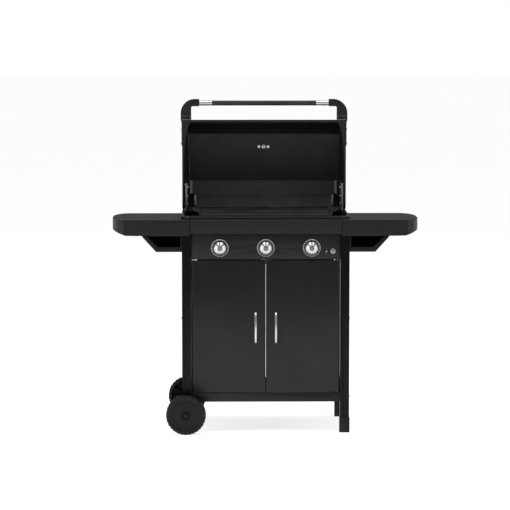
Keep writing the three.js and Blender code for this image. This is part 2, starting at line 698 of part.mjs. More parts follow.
// The flat frame round the lid's mouth: narrow at the sides, with long rounded corners.
function lidRim() {
  const outer = LID_HALF - 0.3;
  const inner = LID_HALF - 9;
  const [front, lip] = [-LID_FRONT, 12];
  const shape = new THREE.Shape();
  shape.moveTo(-outer, -GAP);
  shape.lineTo(-outer, front);
  shape.lineTo(outer, front);
  shape.lineTo(outer, -GAP);
  shape.lineTo(inner, -GAP);
  shape.absellipse(inner - 33, front + lip + 194, 33, 194, 0, -0.5 * Math.PI, true);
  shape.absellipse(-inner + 33, front + lip + 194, 33, 194, -0.5 * Math.PI, -Math.PI, true);
  shape.lineTo(-inner, -GAP);
  return alongZ(shape, [LID_RIM, LID_RIM + LID_RIM_THICK]);
}

// A leaning side wall that rounds the hinge axis at its foot.
function endCap() {
  const foot = -LID_RIM;
  const shape = new THREE.Shape();
  shape.moveTo(...LID_PROFILE[0]);
  shape.lineTo(0, LID_PROFILE[0][1]);
  shape.lineTo(0, LID_RIM);
  shape.absarc(0, 0, foot, -0.5 * Math.PI, 0);
  [...LID_PROFILE].reverse().forEach((point) => shape.lineTo(...point));
  const lean = new THREE.Matrix4();
  lean.elements[8] = -LID_DRAFT;
  lean.elements[12] = LID_DRAFT * LID_RIM;
  const wall = alongX(shape, [LID_HALF - END_CAP, LID_HALF]).applyMatrix4(lean);
  const quarter = new THREE.Shape();
  quarter.moveTo(0, 0);
  quarter.absarc(0, 0, foot - 0.2, -0.5 * Math.PI, 0);
  return join(wall, alongX(quarter, [LID_HALF - 9, LID_HALF - END_CAP + 1]));
}

// A heat liner inside the back of the hood, with turned-in ends.
function liner() {
  const back = folded([[10, 46], [-36, 127], [-93, 137]].map(([y, z]) => [y - 5, z - 5]), 1);
  const lower = alongX(folded([[5, 41], [-41, 122]], 1), [-312, 312]);
  const upper = common(alongX(back, [-328, 328]), block([-340, 340], [-120, -30], [100, 150]));
  const lowerEnd = alongX(folded([[5, 41], [-41, 122]], 8), [306, 313]);
  const upperEnd = alongX(folded([[-40, 121], [-98, 132]], 10), [322, 332]);
  return join(lower, upper, lowerEnd, mirrored(lowerEnd), upperEnd, mirrored(upperEnd));
}

// A casting that runs along the lid's edge, past its front and round to the handle bar.
function handleArm() {
  const [outer, inner, side] = [372.5, 325.5, 369];
  const [corner, top, bottom] = [63, 472, 440];
  const wall = LID_HALF + GAP;
  const shape = new THREE.Shape();
  shape.moveTo(wall, -259);
  shape.lineTo(wall, -LID_FRONT - GAP);
  shape.lineTo(inner, -LID_FRONT - GAP);
  shape.lineTo(inner, -bottom + 7);
  shape.absarc(inner - 7, -bottom + 7, 7, 0, -0.5 * Math.PI, true);
  shape.lineTo(290, -bottom);
  shape.lineTo(290, -top);
  shape.absarc(outer - corner, -top + corner, corner, -0.5 * Math.PI, 0);
  shape.lineTo(outer, -LID_FRONT);
  shape.lineTo(side, -LID_FRONT + 12);
  shape.lineTo(side, -275);
  return alongZ(shape, [HANDLE_UP - 15, HANDLE_UP + 15]);
}

function handleTube() {
  const [end, step] = [290 - GAP, 232];
  const [thick, thin] = [11.8, 9];
  return turnedX([[0, -end], [thick, -end], [thick, -step], [thin, -step], [thin, step],
    [thick, step], [thick, end], [0, end]], -HANDLE_FORWARD, HANDLE_UP);
}

function handleGrip() {
  const end = 232 - GAP;
  const [thick, thin] = [11.2, 9 + GAP];
  return turnedX([[thin, -end], [thick, -end], [thick, end], [thin, end], [thin, -end]],
    -HANDLE_FORWARD, HANDLE_UP);
}

// Moves a piece drawn about Z onto the lid's top, square to its slope.
function thermometerPlace(geometry) {
  const along = (314 - 254) / (314 - 98);
  return geometry.rotateX(TOP_SLOPE).translate(0, -254, 107 + along * (147 - 107));
}

function thermometer() {
  const points = [[0, -26], [3, -26], [3, -8], [5.4, -7.8], [5.4, GAP], [32, GAP], [34, 3],
    [34, 10], [31, 13], [29, 13], [28, 11], [0, 11]];
  return thermometerPlace(turned(points, 0, 0).rotateX(Math.PI / 2));
}

// A plate inside the lid's side that swings about the pivot pin.
function hingeArm() {
  const shape = new THREE.Shape();
  shape.moveTo(-97, -64);
  shape.lineTo(15, -64);
  shape.lineTo(15, -30);
  shape.lineTo(14, 0);
  shape.absarc(0, 0, 14, 0, 0.5 * Math.PI);
  shape.lineTo(-30, 20);
  shape.lineTo(-97, 20);
  const web = alongX(shape, [343.5, 351.5]);
  const bore = alongX(circle(0, 0, 5 + GAP), [342, 353]);
  const bosses = [-84, -44].map((y) => alongX(circle(y, 2, 8), [350, 356]));
  return join(cut(web, bore), ...bosses);
}

function buildLid() {
  const lid = new THREE.Group();
  lid.position.set(0, deep(AXIS_DEPTH), AXIS_HEIGHT);
  lid.rotation.x = -Math.PI / 2;
  grill.add(lid);
  add('lid_hood', join(hood(), lidRim()), BLACK_COAT, lid);
  addPair('lid_end_cap', endCap(), BLACK_COAT, lid);
  add('lid_liner', liner(), BLACK_ENAMEL, lid);
  addPair('lid_handle_arm', handleArm(), BLACK_PLASTIC, lid);
  add('lid_handle_tube', handleTube(), CHROME, lid);
  add('lid_handle_grip', handleGrip(), BLACK_PLASTIC, lid);
  add('lid_thermometer', thermometer(), CHROME, lid);
  addPair('lid_hinge_arm', hingeArm(), STEEL, lid);
}

buildCart();
buildWheels();
buildDoors();
buildControls();
buildGas();
buildFirebox();
buildShelves();
buildLid();

export default grill;
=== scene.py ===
"""Gas barbecue grill with its lid open: looks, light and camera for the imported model.

Lengths are in millimetres until a mesh is made. X runs to the right, Y to the back, Z up.
"""

import json
import math

import bmesh
import bpy
from mathutils import Matrix, Vector


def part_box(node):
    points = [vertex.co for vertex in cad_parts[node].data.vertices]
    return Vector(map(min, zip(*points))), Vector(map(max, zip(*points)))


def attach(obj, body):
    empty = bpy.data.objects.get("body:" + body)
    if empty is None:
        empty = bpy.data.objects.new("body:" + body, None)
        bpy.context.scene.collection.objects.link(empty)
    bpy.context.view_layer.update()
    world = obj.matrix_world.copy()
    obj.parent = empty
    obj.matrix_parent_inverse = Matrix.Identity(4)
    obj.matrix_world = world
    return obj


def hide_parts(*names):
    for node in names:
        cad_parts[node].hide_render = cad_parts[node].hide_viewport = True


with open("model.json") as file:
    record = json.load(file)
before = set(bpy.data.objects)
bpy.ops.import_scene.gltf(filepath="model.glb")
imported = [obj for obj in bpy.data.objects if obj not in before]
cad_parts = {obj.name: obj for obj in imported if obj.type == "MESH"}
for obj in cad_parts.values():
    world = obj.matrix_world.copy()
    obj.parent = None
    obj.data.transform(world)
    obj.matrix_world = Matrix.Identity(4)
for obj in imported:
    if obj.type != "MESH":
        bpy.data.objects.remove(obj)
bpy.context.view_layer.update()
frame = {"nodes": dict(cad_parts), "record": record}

SIDES = {"left": -1, "right": 1}


def node_box(name):
    """A CAD node's lowest and highest corner, in millimetres."""
    low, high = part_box(name)
    return low * 1000, high * 1000


# ---------------------------------------------------------------- camera

EYE = Vector((-211.0, -10566.0, 1731.0))
FRAME_PIXELS = 510
FOCAL_PIXELS = 2396.0   # focal length in pixels of a 510 pixel frame
AIM = Vector((40.2, 2526.0, -233.2))


def make_camera():
    data = bpy.data.cameras.new("camera")
    data.sensor_width = 36
    data.lens = FOCAL_PIXELS / FRAME_PIXELS * data.sensor_width
    data.clip_start = 0.1
    data.clip_end = 100
    camera = bpy.data.objects.new("camera", data)
    bpy.context.scene.collection.objects.link(camera)
    camera.location = EYE / 1000
    camera.rotation_mode = "QUATERNION"
    camera.rotation_quaternion = AIM.to_track_quat("-Z", "Y")
    bpy.context.scene.camera = camera


make_camera()

# ---------------------------------------------------------------- materials


class Look:
    """A procedural material, built up around one Principled shader."""

    def __init__(self, name, color, roughness, metallic=0.0):
        self.material = bpy.data.materials.new(name)
        self.material.use_nodes = True
        self.tree = self.material.node_tree
        self.shader = self.tree.nodes["Principled BSDF"]
        self.shader.inputs["Base Color"].default_value = (*color, 1)
        self.shader.inputs["Roughness"].default_value = roughness
        self.shader.inputs["Metallic"].default_value = metallic
        self.position = self.add("ShaderNodeTexCoord").outputs["Object"]

    def add(self, kind, **inputs):
        node = self.tree.nodes.new(kind)
        for key, value in inputs.items():
            self.feed(node.inputs[key.replace("_", " ")], value)
        return node

    def feed(self, socket, value):
        if isinstance(value, bpy.types.NodeSocket):
            self.tree.links.new(value, socket)
        else:
            socket.default_value = value

    def noise(self, scale, detail, stretch=(1, 1, 1)):
        point = self.position
        if stretch != (1, 1, 1):
            point = self.add("ShaderNodeMapping", Vector=point, Scale=stretch).outputs["Vector"]
        node = self.add("ShaderNodeTexNoise", Vector=point, Scale=scale, Detail=detail)
        return node.outputs["Fac"]

    def ramp(self, value, low, high, out_low=0.0, out_high=1.0):
        node = self.add("ShaderNodeMapRange", Value=value)
        for key, number in (("From Min", low), ("From Max", high),
                            ("To Min", out_low), ("To Max", out_high)):
            node.inputs[key].default_value = number
        return node.outputs["Result"]

    def mix(self, factor, first, second):
        node = self.add("ShaderNodeMix")
        node.data_type = "RGBA"
        self.feed(node.inputs[0], factor)
        self.feed(node.inputs[6], first if not isinstance(first, tuple) else (*first, 1))
        self.feed(node.inputs[7], second if not isinstance(second, tuple) else (*second, 1))
        return node.outputs[2]

    def math(self, operation, first, second):
        node = self.add("ShaderNodeMath")
        node.operation = operation
        self.feed(node.inputs[0], first)
        self.feed(node.inputs[1], second)
        return node.outputs[0]

    def edges(self, radius):
        """1 along sharp edges and 0 on flat faces."""
        soft = self.add("ShaderNodeBevel", Radius=radius).outputs["Normal"]
        true = self.add("ShaderNodeNewGeometry").outputs["Normal"]
        node = self.add("ShaderNodeVectorMath")
        node.operation = "DOT_PRODUCT"
        self.feed(node.inputs[0], soft)
        self.feed(node.inputs[1], true)
        return self.ramp(node.outputs["Value"], 0.995, 0.86)

    def bump(self, height, strength, distance):
        previous = self.shader.inputs["Normal"]
        node = self.add("ShaderNodeBump", Height=height, Strength=strength, Distance=distance)
        if previous.is_linked:
            self.tree.links.new(previous.links[0].from_socket, node.inputs["Normal"])
        self.tree.links.new(node.outputs["Normal"], previous)

    def set(self, **values):
        for key, value in values.items():
            self.feed(self.shader.inputs[key.replace("_", " ")], value)


def shade(color, factor):
    return tuple(min(1.0, c * factor) for c in color)


EDGE_WEAR_AND_HIGHLIGHT = 0.5         # how strongly a coat's lighter edges show, as rubbed wear and as painted edge highlight


def coat(name, color, roughness, gloss, grain=0.12):
    """Powder coat: a fine orange peel, faint cloudy patches and lighter edges, which are partly
    rubbed wear and partly a painted edge highlight.
    """
    look = Look(name, color, roughness)
    look.set(Specular_IOR_Level=gloss)
    patches = look.noise(7, 4)
    base = look.mix(look.ramp(patches, 0.3, 0.7), shade(color, 0.85), shade(color, 1.2))
    specks = look.ramp(look.noise(900, 1), 0.70, 0.82)
    base = look.mix(look.math("MULTIPLY", specks, 0.25), base, shade(color, 3))
    # Lighter edges: rubbed wear that also serves as a painted edge highlight.
    scuffs = look.ramp(look.noise(60, 5), 0.45, 0.62)
    lighter_edges = look.math("MULTIPLY", look.math("MULTIPLY", look.edges(0.0015), scuffs), EDGE_WEAR_AND_HIGHLIGHT)
    base = look.mix(lighter_edges, base, shade(color, 5))
    look.set(Base_Color=base)
    look.set(Roughness=look.ramp(look.noise(25, 4), 0.3, 0.7, roughness - 0.05, roughness + 0.06))
    look.bump(look.noise(420, 2), grain, 0.0004)
    look.bump(look.noise(70, 2), grain * 0.3, 0.0008)
    return look


def plastic(name, color, roughness, grain=0.3):
    """Moulded plastic with a fine leather-like grain and paler rubbed edges."""
    look = Look(name, color, roughness)
    look.set(Specular_IOR_Level=0.25)
    cells = look.add("ShaderNodeTexVoronoi", Vector=look.position, Scale=700.0).outputs["Distance"]
    patches = look.ramp(look.noise(12, 4), 0.35, 0.65)
    base = look.mix(patches, shade(color, 0.8), shade(color, 1.25))
    lighter_edges = look.math("MULTIPLY", look.edges(0.002), look.ramp(look.noise(90, 4), 0.4, 0.65))
    look.set(Base_Color=look.mix(lighter_edges, base, shade(color, 3.5)))
    look.set(Roughness=look.ramp(look.noise(40, 3), 0.3, 0.7, roughness - 0.06, roughness + 0.06))
    look.bump(cells, grain, 0.0002)
    return look


def bright_metal(name, color, roughness, stretch, scratches=0.08):
    """Plated or brushed metal, with fine lines along the way it was worked."""
    look = Look(name, color, roughness, metallic=1.0)
    lines = look.noise(180, 3, stretch)
    cloud = look.noise(14, 3)
    base = look.mix(look.ramp(cloud, 0.3, 0.7), shade(color, 0.93), shade(color, 1.05))
    look.set(Base_Color=base)
    look.set(Roughness=look.ramp(lines, 0.3, 0.7, roughness * 0.8, roughness * 1.3))
    look.bump(lines, scratches, 0.0002)
    return look


def iron(name, color, roughness):
    """Seasoned cast iron: a pitted skin with oily and dry patches."""
    look = Look(name, color, roughness, metallic=0.3)
    oily = look.ramp(look.noise(9, 5), 0.4, 0.6)
    look.set(Base_Color=look.mix(oily, shade(color, 0.8), shade(color, 1.4)))
    look.set(Roughness=look.ramp(look.noise(9, 5), 0.4, 0.6, roughness - 0.1, roughness + 0.1))
    look.bump(look.noise(500, 3), 0.5, 0.0004)
    return look


def enamel(name, color, roughness):
    """Glassy enamel, dulled by heat, with faint runs down the walls."""
    look = Look(name, color, roughness)
    heat = look.ramp(look.noise(5, 5), 0.35, 0.7)
    runs = look.ramp(look.noise(30, 3, (1, 1, 0.08)), 0.45, 0.75)
    base = look.mix(heat, shade(color, 0.8), shade(color, 1.35))
    look.set(Base_Color=look.mix(look.math("MULTIPLY", runs, 0.35), base, shade(color, 1.9)))
    look.set(Roughness=look.ramp(look.noise(18, 4), 0.3, 0.7, roughness - 0.05, roughness + 0.12))
    look.bump(look.noise(45, 2), 0.06, 0.001)
    return look


LOOKS = {
    "black_powder_coat": coat("black_powder_coat", (0.0070, 0.0070, 0.0076), 0.42, gloss=0.26),
    "black_door_coat": coat("black_door_coat", (0.0085, 0.0085, 0.0092), 0.36, grain=0.05,
                            gloss=0.24),
    "black_enamel": enamel("black_enamel", (0.010, 0.010, 0.010), 0.34),
    "black_plastic": plastic("black_plastic", (0.007, 0.007, 0.0076), 0.5),
    "wheel_plastic": plastic("wheel_plastic", (0.0045, 0.0045, 0.0048), 0.55, grain=0.2),
    "chrome": bright_metal("chrome", (0.52, 0.53, 0.54), 0.27, (1, 1, 1), 0.02),
    "steel": bright_metal("steel", (0.42, 0.43, 0.44), 0.32, (0.05, 1, 1), 0.10),
    "griddle_iron": iron("griddle_iron", (0.014, 0.014, 0.014), 0.5),
    "brass": bright_metal("brass", (0.48, 0.33, 0.12), 0.35, (1, 1, 1), 0.10),
    # A darker copy of the chrome. On the knob bosses and the igniter dome it is painted shade for
    # their darker reflections.
    "dark_chrome": bright_metal("dark_chrome", (0.26, 0.26, 0.27), 0.34, (1, 1, 1), 0.02),
    "dull_steel": bright_metal("dull_steel", (0.24, 0.24, 0.25), 0.48, (1, 1, 1), 0.02),
    # A lighter copy of the black enamel: painted light on the liner's lower sheet, which the lid
    # shades, and painted highlights on its rolled edges.
    "painted_light_enamel": enamel("painted_light_enamel", (0.021, 0.021, 0.021), 0.4),
    # Lighter and duller than the black powder coat: painted light inside the shelf brackets'
    # hollow.
    "bracket_painted_light_coat": coat("bracket_painted_light_coat", (0.011, 0.011, 0.0115), 0.45, gloss=0.08),
    "tube_coat": coat("tube_coat", (0.0032, 0.0032, 0.0035), 0.32, gloss=0.13),
    "foot_plastic": plastic("foot_plastic", (0.0050, 0.0050, 0.0054), 0.5),
    # The grip's lighter plastic, also used as a painted highlight on the handle arms' ridges.
    "grip_and_highlight_plastic": plastic("grip_and_highlight_plastic", (0.022, 0.022, 0.023), 0.5),
}
# CAD nodes that differ a little from the usual look of their material slot; the shelf brackets'
# lighter coat is painted light.
LOOK_OF = {}
for side in SIDES:
    LOOK_OF[f"post_front_{side}"] = "tube_coat"
    LOOK_OF[f"post_rear_{side}"] = "tube_coat"
    LOOK_OF[f"side_shelf_bracket_{side}"] = "bracket_painted_light_coat"
    LOOK_OF[f"lid_hinge_arm_{side}"] = "dull_steel"
    LOOK_OF[f"lid_hinge_bracket_{side}"] = "dull_steel"
for place in ("front", "rear"):
    LOOK_OF[f"foot_{place}"] = "foot_plastic"
SLOT_OF = {entry["node"]: entry["material_slot"] for entry in frame["record"]["subparts"]}

# ---------------------------------------------------------------- mesh helpers

BEVEL_ANGLE = math.radians(32)
WELD_DISTANCE = 0.00002     # metres, less than the finest detail
AXES = {"x": (1, 2, 0), "y": (0, 2, 1), "z": (0, 1, 2)}


def bevel(obj, width, segments=2):
    modifier = obj.modifiers.new("bevel", "BEVEL")
    modifier.width = width / 1000
    modifier.segments = segments
    modifier.limit_method = "ANGLE"
    modifier.angle_limit = BEVEL_ANGLE
    modifier.harden_normals = True


def arc(centre, radii, start, end, steps):
    """Points on an ellipse, between two angles in degrees."""
    angles = [math.radians(start + (end - start) * i / steps) for i in range(steps + 1)]
    return [(centre[0] + radii[0] * math.cos(a), centre[1] + radii[1] * math.sin(a))
            for a in angles]


def rounded(points, radii, steps):
    """An open line whose corners become arcs. radii holds one radius for each inner corner."""
    line = [Vector(p) for p in points]
    result = [line[0]]
    for before, corner, after, radius in zip(line, line[1:], line[2:], radii):
        back, ahead = (before - corner).normalized(), (after - corner).normalized()
        half = back.angle(ahead) / 2
        centre = corner + (back + ahead).normalized() * radius / math.sin(half)
        first = corner + back * radius / math.tan(half) - centre
        last = corner + ahead * radius / math.tan(half) - centre
        for i in range(steps + 1):
            spoke = first.lerp(last, i / steps).normalized() * radius
            result.append(centre + spoke)
    return result + [line[-1]]


def thickened(line, thickness):
    """The outline of a sheet whose one face follows a line. It lies to the left of the line."""
    line = [Vector(p) for p in line]
    offset = []
    for i, point in enumerate(line):
        ways = [(b - a).normalized() for a, b in zip(line[max(i - 1, 0):], line[max(i, 1):i + 2])]
        normals = [Vector((-way.y, way.x)) for way in ways[:2]]
        middle = sum(normals, Vector((0, 0))).normalized()
        offset.append(point + middle * thickness / middle.dot(normals[0]))
    return line + offset[::-1]


class Piece:
    """A mesh under construction, in millimetres in the row frame."""

    def __init__(self):
        self.mesh = bmesh.new()

    def faces(self, rows, closed):
        """Joins rows of vertices with faces. A row of one vertex is a pole."""
        pairs = list(zip(rows, rows[1:]))
        if closed:
            pairs.append((rows[-1], rows[0]))
        for a, b in pairs:
            for i in range(max(len(a), len(b))):
                j = i + 1
                ring = [a[i % len(a)], a[j % len(a)], b[j % len(b)], b[i % len(b)]]
                corners = list(dict.fromkeys(ring))
                if len(corners) > 2:
                    self.mesh.faces.new(corners)

    def turned(self, profile, origin, direction, segments, radius_of=None):
        """Turns (radius, distance) points about a line from origin along direction."""
        turn = Vector(direction).to_track_quat("Z", "Y").to_matrix().to_4x4()
        place = Matrix.Translation(origin) @ turn
        closed = profile[0] == profile[-1]
        rows = []
        for radius, distance in profile[:-1] if closed else profile:
            row = []
            for i in range(segments if radius else 1):
                a = 2 * math.pi * i / segments
                r = radius_of(radius, a) if radius_of else radius
                point = Vector((r * math.cos(a), r * math.sin(a), distance))
                row.append(self.mesh.verts.new(place @ point))
            rows.append(row)
        self.faces(rows, closed)

    def loft(self, rings):
        """A closed skin through rings of points, with a flat face on the first and the last."""
        rows = [[self.mesh.verts.new(point) for point in ring] for ring in rings]
        self.faces(rows, False)
        self.mesh.faces.new(rows[0])
        self.mesh.faces.new(rows[-1])

    def prism(self, outline, low, high, axis, move=None):
        """Pushes a closed outline along an axis. The outline is in the other two, in order."""
        first, second, along = AXES[axis]
        rings = []
        for end in (low, high):
            ring = []
            for a, b in outline:
                point = Vector((0, 0, 0))
                point[first], point[second], point[along] = a, b, end
                ring.append(move(point) if move else point)
            rings.append(ring)
        self.loft(rings)

    def box(self, low, high, place):
        """A block between two corners, moved by a matrix."""
        outline = [(low[0], low[1]), (high[0], low[1]), (high[0], high[1]), (low[0], high[1])]
        self.prism(outline, low[2], high[2], "z", lambda point: place @ point)

    def rod(self, path, radius, sides):
        """A round bar along a line of points, with flat ends."""
        path = [Vector(p) for p in path]
        rings = []
        for i, point in enumerate(path):
            way = path[min(i + 1, len(path) - 1)] - path[max(i - 1, 0)]
            frame_of = way.to_track_quat("Z", "Y").to_matrix()
            angles = [2 * math.pi * k / sides for k in range(sides)]
            ring = [frame_of @ Vector((math.cos(a), math.sin(a), 0)) * radius for a in angles]
            rings.append([point + spoke for spoke in ring])
        self.loft(rings)

    def screw(self, place, direction, radius):
        """A domed head with a socket."""
        h = radius * 0.55
        profile = [(radius, 0), (radius, h * 0.3), (radius * 0.86, h * 0.75), (radius * 0.55, h),
                   (radius * 0.45, h), (radius * 0.42, h * 0.35), (0, h * 0.35)]
        self.turned(profile, place, direction, 24)

    def hexagon(self, place, direction, radius, height=None):
        """A six-sided bolt head on a washer."""
        h = height or radius * 0.8
        self.turned([(radius * 1.45, 0), (radius * 1.45, h * 0.2), (radius, h * 0.2)], place,
                    direction, 24)
        self.turned([(radius, h * 0.2), (radius, h * 0.85), (radius * 0.85, h), (0, h)], place,
                    direction, 6)

    def done(self, name, body, slot, replaces=(), edge=0.0, angle=30, look=None):
        """Makes the object, dresses it and fixes it to its body."""
        bmesh.ops.recalc_face_normals(self.mesh, faces=self.mesh.faces)
        bmesh.ops.scale(self.mesh, vec=(0.001, 0.001, 0.001), verts=self.mesh.verts)
        data = bpy.data.meshes.new(name)
        self.mesh.to_mesh(data)
        self.mesh.free()
        obj = bpy.data.objects.new(name, data)
        bpy.context.scene.collection.objects.link(obj)
        data.materials.append(LOOKS[look or slot].material)
        data.shade_smooth()
        data.set_sharp_from_angle(angle=math.radians(angle))
        if edge:
            bevel(obj, edge, 3)
        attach(obj, body)
        if replaces:
            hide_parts(*replaces)


# ---------------------------------------------------------------- CAD pieces that stay

CAD_EDGE = 0.5


def dress(name):
    """Gives a CAD node its finish, and rounds its edges a little."""
    obj = frame["nodes"][name]
    obj.data.materials.clear()
    obj.data.materials.append(LOOKS[LOOK_OF.get(name, SLOT_OF[name])].material)
    obj.data.shade_smooth()
    weld = obj.modifiers.new("weld", "WELD")
    weld.merge_threshold = WELD_DISTANCE
    bevel(obj, CAD_EDGE)


for name in frame["nodes"]:
    dress(name)

# ---------------------------------------------------------------- cart sizes

FRONT = -240.0          # front face of the posts
DEPTH = 480             # over the front and rear posts
POST = 40
POST_X = 343.5          # middle of a post
POST_OUTER = 363.5
BACKWARD = (0, 1, 0)
UPWARD = (0, 0, 1)

# ---------------------------------------------------------------- wheels

TREAD_BLOCKS = 30
TREAD_START = 83.5      # smallest radius that the grooves cut
TREAD_GROOVE = 1.8
GROOVE_SHARE = 0.3      # of each block's length
WHEEL_RIBS = 12
# Hub face, dished disc, rim, tread, open back and hub tube, from the outer face inward.
WHEEL_PROFILE = [(7, 8), (16.5, 8), (17.6, 1.4), (20, 0.6), (22, 2), (24, 4.6), (51, 5.6),
                 (54, 3.4), (57, 3.2), (60, 5.2), (63, 5), (66, 2.4), (75, 0.5), (80, 0.6),
                 (83.6, 2.4), (86, 6), (86.5, 12), (86.5, 38), (86, 45), (83.6, 48.6), (80, 50),
                 (73.5, 50), (72.5, 48), (72, 14), (69, 11), (22, 11), (18, 15), (17, 68),
                 (7, 68), (7, 8)]
CAP_PROFILE = [(0, 0.4), (4, 0.5), (5.4, 1.2), (6, 2.2), (7.4, 2.2), (8.2, 1.4), (10, 2.2),
               (11, 4), (11, 6.7), (0, 6.7)]
CAP_DEPTH = 6.8
PLUG_PROFILE = [(0, 2.6), (3.6, 2.6), (4.4, 1.6), (6, 1.4), (6.2, 2), (6.2, 6), (0, 6)]
PLUG_X = 346.5
PLUG_Z = 86.5


def tread(radius, angle):
    """Cuts shallow grooves across the tread."""
    if radius < TREAD_START:
        return radius
    step = angle / (2 * math.pi) * TREAD_BLOCKS % 1
    return radius - (TREAD_GROOVE if step < GROOVE_SHARE else 0.0)


def make_wheel(place, inward):
    name = f"wheel_{place}"
    low, high = node_box(name)
    centre = (low + high) / 2
    centre.y = low.y if inward > 0 else high.y
    wheel = Piece()
    wheel.turned(WHEEL_PROFILE, centre, (0, inward, 0), 180, tread)
    for i in range(WHEEL_RIBS):
        turn = Matrix.Translation(centre) @ Matrix.Rotation(2 * math.pi * i / WHEEL_RIBS, 4, "Y")
        near, far = sorted((inward * 10, inward * 40))
        wheel.box((16.5, near, -1.3), (72.6, far, 1.3), turn)
    wheel.done(name + "_moulding", name, "wheel_plastic", [name], angle=24)


def make_axle():
    low, high = node_box("wheel_axle")
    line = (low + high) / 2
    near, far = low.y + CAP_DEPTH, high.y - CAP_DEPTH
    axle = Piece()
    axle.turned([(0, near), (5.2, near), (6, near + 1), (6, far - 1), (5.2, far), (0, far)],
                (line.x, 0, line.z), BACKWARD, 32)
    axle.done("wheel_axle_rod", "cart", "steel", ["wheel_axle"], angle=35)
    for place, y, way in (("front", low.y, 1), ("rear", high.y, -1)):
        cap = Piece()
        cap.turned(CAP_PROFILE, (line.x, y, line.z), (0, way, 0), 48)
        cap.done(f"wheel_axle_cap_{place}", "cart", "black_plastic", angle=35,
                 look="foot_plastic")


def make_post_plugs():
    """Plugs in the axle holes of the two posts that stand on feet."""
    plugs = Piece()
    for depth, way in ((0, 1), (POST, -1), (DEPTH - POST, 1), (DEPTH, -1)):
        plugs.turned(PLUG_PROFILE, (PLUG_X, FRONT + depth, PLUG_Z), (0, way, 0), 32)
    plugs.done("post_hole_plugs", "cart", "black_plastic", angle=35, look="foot_plastic")


make_wheel("front", 1)
make_wheel("rear", -1)
make_axle()
make_post_plugs()

# ---------------------------------------------------------------- knobs and igniter

# Profiles are (radius, Y from the front of the posts).
KNOB_PROFILE = [(8.9, -18), (9.2, -24.6), (9.8, -25.8), (10.8, -26), (12, -25.6), (19, -20.4),
                (26.6, -14.6), (27.6, -13), (28, -11), (28, -0.8), (4.3, -0.8), (4.3, -17.4),
                (8.9, -17.4), (8.9, -18)]
# A black ring round the knob's rim, a dark part put where a shadow gap lies: painted shade.
SHADOW_SKIRT_PROFILE = [(28.2, -4), (31.6, -4), (32.4, -3.2), (32.5, -2.2), (31.5, -0.8), (28.2, -0.8),
                 (28.2, -4)]
BOSS_PROFILE = [(0, -21.4), (5.6, -21.8), (7.4, -21.4), (8.2, -20.2), (8.5, -18), (8.5, -17.5),
                (0, -17.5)]
BEZEL_PROFILE = [(8, 5.7), (38.2, 5.7), (39, 4.9), (39, 0.6), (38.4, -1.4), (37.4, -2.4),
                 (36.4, -2.5), (35.6, -2.1), (35.1, -1), (34.3, 2.6), (33.6, 3.2), (8, 3.2),
                 (8, 5.7)]
PIP_PROFILE = [(0, -2.9), (1.6, -2.7), (2.2, -2), (2.2, 0), (0, 0)]
PIP_HEIGHT = 36.4
# The dark mark lies along the knob's cone, as (Y, height above the axis).
KNOB_MARK = [(-24.9, 13.6), (-14.4, 27.2), (-12.4, 27.2), (-23, 13.6)]
KNOB_MARK_HALF = 2.6
DOME_PROFILE = [(0, -8), (3, -7.9), (6.5, -7.2), (9.5, -6), (11.6, -4.4), (12.4, -3),
                (12.4, -1.9), (7, -1.9), (7, 32), (0, 32)]
COLLAR_PROFILE = [(7.4, 2.5), (14, 2.5), (14.8, 3.2), (15, 5.7), (9.2, 5.7), (9.2, 44),
                  (7.4, 44), (7.4, 2.5)]


def front_axis(node):
    """The point on the plane of the posts' front that a control's axis goes through."""
    low, high = node_box(node)
    return ((low.x + high.x) / 2, FRONT, (low.z + high.z) / 2)


def make_knob(side):
    name = f"knob_{side}"
    axis = front_axis(name)
    knob = Piece()
    knob.turned(KNOB_PROFILE, axis, BACKWARD, 120)
    knob.done(f"{name}_cup", name, "chrome", [name], angle=38)
    # The skirt's black ring is painted shade for the shadow gap round the knob.
    skirt = Piece()
    skirt.turned(SHADOW_SKIRT_PROFILE, axis, BACKWARD, 120)
    skirt.done(f"{name}_skirt", name, "black_plastic", angle=38)
    boss = Piece()
    # The boss's darker chrome is painted shade for its darker reflection.
    boss.turned(BOSS_PROFILE, axis, BACKWARD, 48)
    boss.done(f"{name}_boss", name, "chrome", angle=38, look="dark_chrome")
    mark = Piece()
    mark.prism([(FRONT + y, axis[2] + up) for y, up in KNOB_MARK], axis[0] - KNOB_MARK_HALF,
               axis[0] + KNOB_MARK_HALF, "x")
    mark.done(f"{name}_mark", name, "black_plastic", edge=0.3)
    bezel = Piece()
    bezel.turned(BEZEL_PROFILE, axis, BACKWARD, 120)
    bezel.turned(PIP_PROFILE, (axis[0], FRONT - 0.2, axis[2] + PIP_HEIGHT), BACKWARD, 20)
    bezel.done(f"knob_bezel_{side}_ring", "cart", "chrome", [f"knob_bezel_{side}"], angle=38)


def make_igniter():
    axis = front_axis("igniter_housing")
    button = Piece()
    button.turned(DOME_PROFILE, axis, BACKWARD, 64)
    # The dome's darker chrome is painted shade for its darker reflection.
    button.done("igniter_dome", "igniter_button", "chrome", ["igniter_button"], angle=38,
                look="dark_chrome")
    collar = Piece()
    collar.turned(COLLAR_PROFILE, axis, BACKWARD, 64)
    collar.done("igniter_collar", "cart", "black_plastic", ["igniter_housing"], angle=38)


for side in ("left", "centre", "right"):
    make_knob(side)
make_igniter()

# ---------------------------------------------------------------- door handles

BOW_THICKNESS = 6


